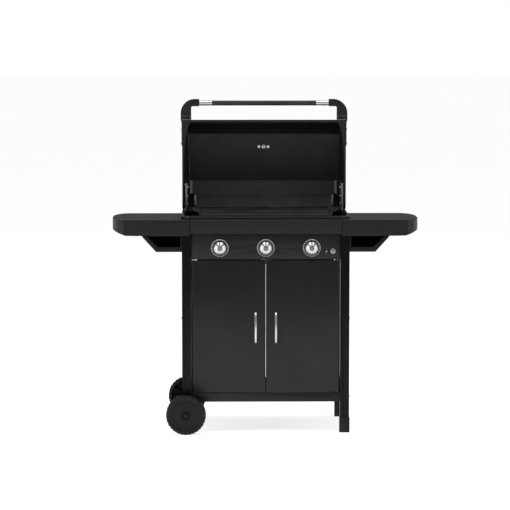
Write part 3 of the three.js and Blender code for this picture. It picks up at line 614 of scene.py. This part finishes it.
def make_door_handle(side):
    low, high = node_box(f"door_handle_{side}")
    middle = (high.y, (low.z + high.z) / 2)
    half, reach = (high.z - low.z) / 2, high.y - low.y
    bow = Piece()
    outer = arc(middle, (reach, half), 90, 270, 40)
    inner = arc(middle, (reach - BOW_THICKNESS, half - BOW_THICKNESS), 270, 90, 40)
    bow.prism(outer + inner, low.x, high.x, "x")
    bow.done(f"door_handle_{side}_bow", f"door_{side}", "chrome", [f"door_handle_{side}"],
             edge=1.6)


for side in SIDES:
    make_door_handle(side)

# ---------------------------------------------------------------- lid handle

AXIS = Vector((0, 164, 969))      # lid hinge axis
HANDLE_BAR = (0, AXIS.y - 4, AXIS.z + 454)
# Half of each turned part, as (radius, distance from the middle).
HALF_TUBE = [(9, 0), (9, 231.8), (10.6, 232.2), (11.8, 233.6), (11.8, 244), (11.2, 245),
             (11.2, 247), (11.8, 248), (11.8, 286), (11.2, 289.7), (0, 289.7)]
HALF_GRIP = [(11.2, 0), (11.2, 222), (11.7, 225), (11.7, 229), (11, 231.6), (9.3, 231.6)]
# A raised strip across each handle arm: a real ridge, coloured lighter as a painted highlight
# line.
CREASE_HIGHLIGHT = ((325.7, 1361), (372.3, 1361), (372.3, 1369), (325.7, 1369))


def both_ways(half):
    """A whole profile from its half, mirrored at the middle."""
    return [(radius, -distance) for radius, distance in half[::-1]] + half[1:]


def make_handle_arm(side, sign):
    outline = [(366.8, 259), (368.2, 262), (369, 275), (369, 366), (372.5, 380), (372.5, 409)]
    outline += arc((309.5, 409), (63, 63), 3, 90, 18)
    outline += [(290, 472), (290, 440), (318.5, 440)]
    outline += arc((318.5, 433), (7, 7), 80, 0, 5)
    outline += [(325.5, 380.3), (366.8, 380.3)]
    arm = Piece()
    arm.prism([(sign * x, AXIS.z + up) for x, up in outline], AXIS.y - 19, AXIS.y + 11, "y")
    arm.done(f"lid_handle_{side}_casting", "lid", "black_plastic", [f"lid_handle_arm_{side}"],
             edge=2.2, angle=40)
    # The ridge's lighter plastic is a painted highlight line.
    crease_highlight = Piece()
    crease_highlight.prism([(sign * x, z) for x, z in CREASE_HIGHLIGHT], AXIS.y - 20.6, AXIS.y - 18.5, "y")
    crease_highlight.done(f"lid_handle_{side}_crease", "lid", "black_plastic", edge=1.2,
                look="grip_and_highlight_plastic")


def make_handle_bar():
    tube = Piece()
    tube.turned(both_ways(HALF_TUBE), HANDLE_BAR, (1, 0, 0), 64)
    tube.done("lid_handle_bar", "lid", "chrome", ["lid_handle_tube"], angle=35)
    grip = Piece()
    closed_grip = both_ways(HALF_GRIP) + [(9.3, -231.6)]
    grip.turned(closed_grip, HANDLE_BAR, (1, 0, 0), 64)
    grip.done("lid_handle_sleeve", "lid", "black_plastic", ["lid_handle_grip"], angle=35,
              look="grip_and_highlight_plastic")


for side, sign in SIDES.items():
    make_handle_arm(side, sign)
make_handle_bar()

# ---------------------------------------------------------------- lid shell

# The lid's section from its rear edge up over the back and down to its front, as (Y, Z).
LID_LINE = [(AXIS.y + up, AXIS.z + out) for out, up in
            ((-19, 44), (33, 136), (98, 147), (314, 107), (337, 86), (380, -21.2))]
LID_BENDS = [46, 60, 14, 14]
LID_HALF = 366.5
LID_DRAFT = 0.175       # how much the lid narrows towards its top
LID_SHEET = 2
WALL = 3
RIM_FRONT = AXIS.y - 24.5
RIM_FOOT = 969.3
MOUTH_BEND = (33, 194)
STUD_PROFILE = [(0, -0.4), (2.8, -0.35), (3.6, -0.2), (3.8, 0.1), (0, 0.1)]
HINGE_EAR = 24.5
WALL_BEADS = ((1143, 286), (1070, 298))     # height and rear end of each pressed bead


def make_lid_shell():
    def lean(point):
        width = LID_HALF - 3.3 - LID_DRAFT * (point.y - RIM_FRONT)
        return Vector((point.x * width, point.y, point.z))

    shell = Piece()
    shell.prism(thickened(rounded(LID_LINE, LID_BENDS, 10), LID_SHEET), -1, 1, "x", lean)
    edge = LID_HALF - 0.3
    mouth = [(-edge, RIM_FOOT), (-edge, 1349), (edge, 1349), (edge, RIM_FOOT),
             (LID_HALF - 9, RIM_FOOT)]
    mouth += arc((LID_HALF - 42, 1143), MOUTH_BEND, 0, 90, 24)
    mouth += arc((-LID_HALF + 42, 1143), MOUTH_BEND, 90, 180, 24)
    mouth += [(-LID_HALF + 9, RIM_FOOT)]
    shell.prism(mouth, RIM_FRONT, RIM_FRONT + 3, "y")
    for sign in SIDES.values():
        shell.turned(STUD_PROFILE, (sign * 338, RIM_FRONT, 1334), BACKWARD, 20)
    shell.done("lid_shell", "lid", "black_powder_coat", ["lid_hood"], edge=0.5, angle=24)


def make_lid_wall(side, sign):
    inner = LID_HALF - WALL

    def lean(point):
        shift = LID_DRAFT * (point.y - RIM_FRONT)
        return Vector((sign * (point.x - shift), point.y, point.z))

    outline = rounded(LID_LINE, LID_BENDS, 10) + [(AXIS.y - 21.2, AXIS.z)]
    outline += arc((AXIS.y, AXIS.z), (HINGE_EAR, HINGE_EAR), 180, 270, 10)
    wall = Piece()
    wall.prism(outline, inner, LID_HALF, "x", lean)
    foot = [(AXIS.y, AXIS.z)] + arc((AXIS.y, AXIS.z), (24.3, 24.3), 180, 270, 10)
    wall.prism(foot, sign * 357.5, sign * (inner + 1), "x")
    for z, reach in WALL_BEADS:
        bead = [(150, 1.2), (158, 2.2), (reach - 8, 2.2), (reach, 1.2)]
        path = [lean(Vector((inner - depth * 0.3, y, z))) for y, depth in bead]
        wall.rod(path, 1.6, 10)
    wall.done(f"lid_wall_{side}", "lid", "black_powder_coat", [f"lid_end_cap_{side}"], edge=0.9,
              angle=24)
    bolts = Piece()
    for z in (1006, 1045):
        bolts.hexagon((sign * 343.5, AXIS.y + 2, z), (-sign, 0, 0), 4.6, 3.6)
    for z in (1243, 1305):
        bolts.screw((sign * 369, AXIS.y - 4, z), (sign, 0, 0), 5.5)
    bolts.done(f"lid_bolts_{side}", "lid", "steel", angle=35)


make_lid_shell()
for side, sign in SIDES.items():
    make_lid_wall(side, sign)

# ---------------------------------------------------------------- heat liner

LINER_LOW = [(AXIS.y + 41, AXIS.z - 15), (AXIS.y + 122, AXIS.z + 41)]
LINER_HIGH = [(AXIS.y + 121, AXIS.z + 40), (AXIS.y + 132, AXIS.z + 98)]
LOW_HALF = 306
HIGH_HALF = 322
# Height, inner X and outer X of the upright flange beside the lower sheet.
FLANGE_RINGS = ((962, 302, 309.5), (1009, 305, 312.5))


def make_liner():
    lower = Piece()
    lower.prism(thickened(LINER_LOW, 1), -LOW_HALF, LOW_HALF, "x")
    upper = Piece()
    upper.prism(thickened(LINER_HIGH, 1), -HIGH_HALF, HIGH_HALF, "x")
    rolled = Piece()
    for (y, z), half, radius in ((LINER_LOW[0], LOW_HALF, 3), (LINER_LOW[1], LOW_HALF, 1.8),
                                 (LINER_HIGH[1], HIGH_HALF, 1.8)):
        rolled.rod([(-half, y - 1.5, z), (half, y - 1.5, z)], radius, 12)
    # The rolled edges' lighter enamel is a painted highlight line.
    rolled.done("lid_liner_rolled_edges", "lid", "black_enamel", angle=40, look="painted_light_enamel")
    # The lower sheet's lighter enamel is painted light on a sheet that the lid shades.
    lower.done("lid_liner_lower", "lid", "black_enamel", ["lid_liner"], angle=40,
               look="painted_light_enamel")
    upper.done("lid_liner_upper", "lid", "black_enamel", angle=40)


def make_liner_ends():
    ends = Piece()
    for sign in SIDES.values():
        upright = [[Vector((sign * x, y, z)) for x in (near, far) for y in (203, 204.2)]
                   for z, near, far in FLANGE_RINGS]
        ends.loft([[ring[0], ring[1], ring[3], ring[2]] for ring in upright])
        ends.prism([(204, 956), (285, 1009), (204, 1009)], sign * 312, sign * 313, "x")
        ends.prism(thickened(LINER_HIGH, 10), sign * HIGH_HALF, sign * 323.2, "x")
        front_line = [(y - 8, z + 1) for y, z in LINER_HIGH]
        ends.prism(thickened(front_line, 1.2), sign * HIGH_HALF, sign * 332, "x")
    ends.done("lid_liner_ends", "lid", "steel", angle=40, look="dark_chrome")


make_liner()
make_liner_ends()

# ---------------------------------------------------------------- thermometer

GAUGE = Vector((0, AXIS.y + 118.1, AXIS.z + 254))
GAUGE_TICKS = 11
GAUGE_SWEEP = 125       # degrees each way from the top
CASE_PROFILE = [(28, 9.2), (28.6, 11.6), (29.6, 12.8), (31, 13), (33, 11.8), (34, 9.6), (34, 4),
                (33, 1), (31, 0.4), (6, 0.4), (6, 2.4), (28, 9.2)]
PROBE_PROFILE = [(0, -26), (2.2, -25.6), (3, -24), (3, -7.6), (0, -7.6)]
BUSH_PROFILE = [(5.4, 0.4), (3, 0.4), (3, -9), (5.4, -9), (5.4, 0.4)]
DIAL_PROFILE = [(0, 9.4), (27, 9.4), (27.8, 9.9), (27.8, 10.4), (26.6, 10.6), (0, 10.6)]
PIVOT_PROFILE = [(0, 12.2), (2.2, 11.9), (2.6, 11), (2.6, 10.6), (0, 10.6)]
POINTER = ((-1.6, -5), (1.6, -5), (0.5, 20), (-0.5, 20))


def gauge_frame():
    """Places a drawing's Z along the lid's outward normal, with the drawing's Y up the lid."""
    outward = Vector((0, 216, 40)).normalized()
    upward = Vector((0, -40, 216)).normalized()
    across = upward.cross(outward)
    return Matrix.Translation(GAUGE) @ Matrix((across, upward, outward)).transposed().to_4x4()


def make_gauge_marks(drawing, outward):
    marks = Piece()
    for i in range(GAUGE_TICKS):
        long_tick = i % 5 == 0
        half, start = (0.7, 17) if long_tick else (0.4, 20)
        angle = -GAUGE_SWEEP + 2 * GAUGE_SWEEP * i / (GAUGE_TICKS - 1)
        turn = drawing @ Matrix.Rotation(math.radians(angle), 4, "Z")
        marks.box((-half, start, 10.5), (half, 24.5, 10.9), turn)
    pointer = drawing @ Matrix.Rotation(math.radians(GAUGE_SWEEP), 4, "Z")
    marks.loft([[pointer @ Vector((x, y, z)) for x, y in POINTER] for z in (10.9, 11.6)])
    marks.turned(PIVOT_PROFILE, GAUGE, outward, 24)
    marks.done("lid_gauge_marks", "lid", "black_plastic")


def make_gauge():
    drawing = gauge_frame()
    outward = drawing.to_3x3() @ Vector(UPWARD)
    case = Piece()
    case.turned(CASE_PROFILE, GAUGE, outward, 96)
    case.turned(PROBE_PROFILE, GAUGE, outward, 24)
    case.turned(BUSH_PROFILE, GAUGE, outward, 24)
    case.done("lid_gauge_case", "lid", "chrome", ["lid_thermometer"], angle=35)
    dial = Piece()
    dial.turned(DIAL_PROFILE, GAUGE, outward, 64)
    dial.done("lid_gauge_dial", "lid", "steel", angle=35)
    make_gauge_marks(drawing, outward)
    nuts = Piece()
    for x in (-20.3, 0, 20.3):
        nuts.hexagon(GAUGE + Vector((x, 0, 0)) - outward * 2, -outward, 4.6 if x else 5.6, 4.4)
    nuts.done("lid_gauge_nuts", "lid", "chrome", angle=35)


make_gauge()

# ---------------------------------------------------------------- griddle

PLATE_HALF = 289.5
PLATE_FRONT, PLATE_BACK = -202.0, 192.0
PLATE_BOTTOM, PLATE_TOP, LIP_TOP = 944.3, 950.3, 958.3
PLATE_CORNER = 10
LUG_LINE = [(286, -144, 954), (312, -144, 967), (312, -46, 967), (286, -46, 954)]


def make_griddle():
    griddle = Piece()
    corner = (PLATE_CORNER, PLATE_CORNER)
    inset = PLATE_HALF - PLATE_CORNER
    outline = [(-PLATE_HALF, PLATE_FRONT), (PLATE_HALF, PLATE_FRONT)]
    outline += arc((inset, PLATE_BACK - PLATE_CORNER), corner, 0, 90, 6)
    outline += arc((-inset, PLATE_BACK - PLATE_CORNER), corner, 90, 180, 6)
    griddle.prism(outline, PLATE_BOTTOM, PLATE_TOP, "z")
    lip = [(-PLATE_HALF, PLATE_FRONT), (-PLATE_HALF, PLATE_BACK), (PLATE_HALF, PLATE_BACK),
           (PLATE_HALF, PLATE_FRONT)]
    lip_line = rounded(lip, corner, 8)
    griddle.prism(thickened(lip_line[::-1], 5), PLATE_BOTTOM + 0.1, LIP_TOP, "z")
    for sign in SIDES.values():
        lug = rounded(LUG_LINE, [9, 9], 8)
        griddle.rod([(sign * x, y, z) for x, y, z in lug], 4, 16)
    griddle.done("griddle_casting", "cart", "griddle_iron", ["griddle_plate"], edge=1.4, angle=35)


make_griddle()

# ---------------------------------------------------------------- side shelves

SHELF_TOP = 930.0
SHELF_SKIRT = 860.0
SHELF_FRONT = FRONT - 2
SHELF_BACK = FRONT + 400
SHELF_END = 668.0
SHELF_START = 331.2     # beside the apron
SHELF_REAR_START = 367.5
SHEET_END = 606         # where the sheet's skirt ends and the moulded cap shows
SKIRT_BEND = 543        # where the skirt's lower edge starts to rise
SKIRT_RISE = 912
CAP_BEND = 603          # the same for the moulded cap
CAP_SLOPE = 27 / 77
FOLD = 3.0
SHEET = 1


def shelf_end(inset):
    """The shelf's rounded end from above, from its front edge round to its back edge."""
    end = SHELF_END - inset
    front, back = SHELF_FRONT + inset, SHELF_BACK - inset
    return (arc((end - 58, front + 152), (58, 152), 270, 360, 28)
            + arc((end - 68, back - 170), (68, 170), 0, 90, 28))


def skirt_bottom(x):
    """The skirt's lower edge, which slants up near the shelf's end."""
    rise = (SKIRT_RISE - SHELF_SKIRT) / (SHEET_END - SKIRT_BEND)
    return SHELF_SKIRT + max(0.0, x - SKIRT_BEND) * rise


def cap_bottom(x):
    return SHELF_SKIRT + max(0.0, x - CAP_BEND) * CAP_SLOPE


def cap_outline(inset):
    """The moulded end from above. It steps in where the sheet's skirt and rear lip cover it."""
    front, back = SHELF_FRONT + inset, SHELF_BACK - inset
    near, far = max(front, FRONT + 0.2), min(back, SHELF_BACK - 2.2)
    start = [(548 + inset, near), (606.5, near), (607.5, front)]
    return start + shelf_end(inset) + [(591.5, back), (590.5, far), (548 + inset, far)]


def make_shelf_sheet(side, sign):
    sheet = Piece()
    outline = [(SHELF_START, SHELF_FRONT + FOLD), (SHEET_END, SHELF_FRONT + FOLD),
               (SHEET_END, SHELF_FRONT)]
    outline += shelf_end(0)
    outline += [(SHELF_REAR_START, SHELF_BACK), (SHELF_REAR_START, FRONT + 43),
                (SHELF_START, FRONT + 43)]
    sheet.prism([(sign * x, y) for x, y in outline], SHELF_TOP - SHEET, SHELF_TOP, "z")
    rings = []
    for x in (SHELF_START, 440, SKIRT_BEND, 560, 580, SHEET_END):
        line = [(SHELF_FRONT, skirt_bottom(x))]
        line += arc((SHELF_FRONT + FOLD, SHELF_TOP - FOLD), (FOLD, FOLD), 180, 90, 6)
        section = thickened(line[::-1], SHEET)
        rings.append([Vector((sign * x, y, z)) for y, z in section])
    sheet.loft(rings)
    rear = [(SHELF_REAR_START, 900), (590, 900), (590, 929.5), (SHELF_REAR_START, 929.5)]
    sheet.prism([(sign * x, z) for x, z in rear], SHELF_BACK - SHEET, SHELF_BACK, "y")
    sheet.done(f"side_shelf_{side}_sheet", "cart", "black_powder_coat", [f"side_shelf_{side}"],
               edge=0.35, angle=35)


def make_shelf_cap(side, sign):
    outer, inner = cap_outline(0.5), cap_outline(4)
    top = SHELF_TOP - 1.3
    cap = Piece()
    cap.loft([[Vector((sign * x, y, top)) for x, y in outer],
              [Vector((sign * x, y, cap_bottom(x))) for x, y in outer],
              [Vector((sign * x, y, cap_bottom(x))) for x, y in inner],
              [Vector((sign * x, y, top - 3)) for x, y in inner]])
    cap.done(f"side_shelf_cap_{side}_moulding", "cart", "black_plastic",
             [f"side_shelf_cap_{side}"], edge=1.0, angle=35)


for side, sign in SIDES.items():
    make_shelf_sheet(side, sign)
    make_shelf_cap(side, sign)

# ---------------------------------------------------------------- front apron

APRON_TOP = 930.5
APRON_BOTTOM = 868
APRON_BACK = FRONT + 29.7
APRON_HALF = 328.8
POST_GAP_HALF = 323.2   # between the front posts, where the apron's lower lip fits


def make_apron():
    line = [(APRON_BACK, APRON_TOP), (SHELF_FRONT, APRON_TOP), (SHELF_FRONT, APRON_BOTTOM),
            (SHELF_FRONT + 10, APRON_BOTTOM)]
    apron = Piece()
    apron.prism(thickened(rounded(line, [3.5, 1.5], 6), SHEET), -POST_GAP_HALF, POST_GAP_HALF,
                "x")
    end_line = rounded(line[:3], [3.5], 6)
    for sign in SIDES.values():
        apron.prism(thickened(end_line, SHEET), sign * POST_GAP_HALF, sign * APRON_HALF, "x")
    apron.done("front_apron_sheet", "cart", "black_powder_coat", ["front_apron"], edge=0.3,
               angle=35)


make_apron()

# ---------------------------------------------------------------- fasteners and small marks

DOOR_SCREW_X = 44
DOOR_HANDLE_Z = 461
DOOR_SCREW_RISE = 67
STRIKE = ((6, 734), (30, 734), (30, 751), (6, 751))
SIDE_BOLTS = (156, 500, 845)
REAR_BOLTS = (156, 820)
BRACKET_BOLTS = (40, 210)   # behind the posts' front
BRACKET_BOLT_X = 400
BRACKET_FLOOR = 793.1
SPARK_CENTRE = (263, 792)
SPARK = [(2.6, 9), (-4.2, -1.2), (-0.6, -1.2), (-2.4, -9), (4.4, 1.8), (0.8, 1.8)]


def make_cart_bolts(side, sign):
    bolts = Piece()
    for depth in (POST / 2, DEPTH - POST / 2):
        for z in SIDE_BOLTS:
            bolts.screw((sign * POST_OUTER, FRONT + depth, z), (sign, 0, 0), 5.5)
    for z in REAR_BOLTS:
        bolts.screw((sign * POST_X, FRONT + DEPTH, z), BACKWARD, 5.5)
    for depth in BRACKET_BOLTS:
        bolts.hexagon((sign * BRACKET_BOLT_X, FRONT + depth, BRACKET_FLOOR), UPWARD, 5)
    bolts.done(f"cart_bolts_{side}", "cart", "steel", angle=35)


def make_door_fittings(side, sign):
    screws = Piece()
    for z in (DOOR_HANDLE_Z - DOOR_SCREW_RISE, DOOR_HANDLE_Z + DOOR_SCREW_RISE):
        screws.screw((sign * DOOR_SCREW_X, FRONT + 1, z), BACKWARD, 4.5)
    screws.done(f"door_screws_{side}", f"door_{side}", "steel", angle=35)
    plate = Piece()
    plate.prism([(sign * x, z) for x, z in STRIKE], FRONT + 15, FRONT + 18.2, "y")
    plate.done(f"door_strike_{side}", f"door_{side}", "steel", edge=0.5)


def make_spark():
    """A generic spark sign beside the igniter."""
    spark = Piece()
    outline = [(SPARK_CENTRE[0] + x, SPARK_CENTRE[1] + z) for x, z in SPARK]
    spark.prism(outline, FRONT + 5.8, FRONT + 6.1, "y")
    spark.done("igniter_symbol", "cart", "steel")


for side, sign in SIDES.items():
    make_cart_bolts(side, sign)
    make_door_fittings(side, sign)
make_spark()

# ---------------------------------------------------------------- floor and light

FLOOR_GLOW = 0.75
STUDIO_LIGHT = 0.25      # what the white room lends to the object
LIGHT_TARGET = (0, 0, 0.8)
# Each light's place in metres, its size and its power in watts.
LIGHTS = {
    "overhead": ((0, -0.5, 4.5), (4, 4), 120),
    "side_left": ((-4.6, -2.4, 1.9), (2, 3.4), 70),
    "side_right": ((4.6, -2.2, 1.9), (2, 3.4), 50),
}


def make_stage():
    bpy.ops.mesh.primitive_plane_add(size=600)
    floor = bpy.context.object
    floor.name = "floor"
    pale = Look("floor", (0.9, 0.9, 0.9), 0.9)
    pale.set(Base_Color=pale.mix(pale.noise(3, 2), (0.88, 0.88, 0.88), (0.92, 0.92, 0.92)))
    pale.shader.inputs["Emission Color"].default_value = (1, 1, 1, 1)
    pale.shader.inputs["Emission Strength"].default_value = FLOOR_GLOW
    floor.data.materials.append(pale.material)


def make_world():
    """A white room behind the object, which lights it less than the camera sees."""
    world = bpy.data.worlds.new("studio")
    bpy.context.scene.world = world
    world.use_nodes = True
    tree = world.node_tree
    background = tree.nodes["Background"]
    background.inputs["Color"].default_value = (1, 1, 1, 1)
    path = tree.nodes.new("ShaderNodeLightPath")
    strength = tree.nodes.new("ShaderNodeMapRange")
    strength.inputs["To Min"].default_value = STUDIO_LIGHT
    strength.inputs["To Max"].default_value = 1.0
    tree.links.new(path.outputs["Is Camera Ray"], strength.inputs["Value"])
    tree.links.new(strength.outputs["Result"], background.inputs["Strength"])


def area_light(name, place, size, watts):
    data = bpy.data.lights.new(name, "AREA")
    data.shape = "RECTANGLE"
    data.size, data.size_y = size
    data.energy = watts
    light = bpy.data.objects.new(name, data)
    bpy.context.scene.collection.objects.link(light)
    light.location = place
    aim = Vector(LIGHT_TARGET) - Vector(place)
    light.rotation_euler = aim.to_track_quat("-Z", "Y").to_euler()


bpy.context.scene.view_settings.view_transform = "Standard"
make_stage()
make_world()
for name, (place, size, watts) in LIGHTS.items():
    area_light(name, place, size, watts)
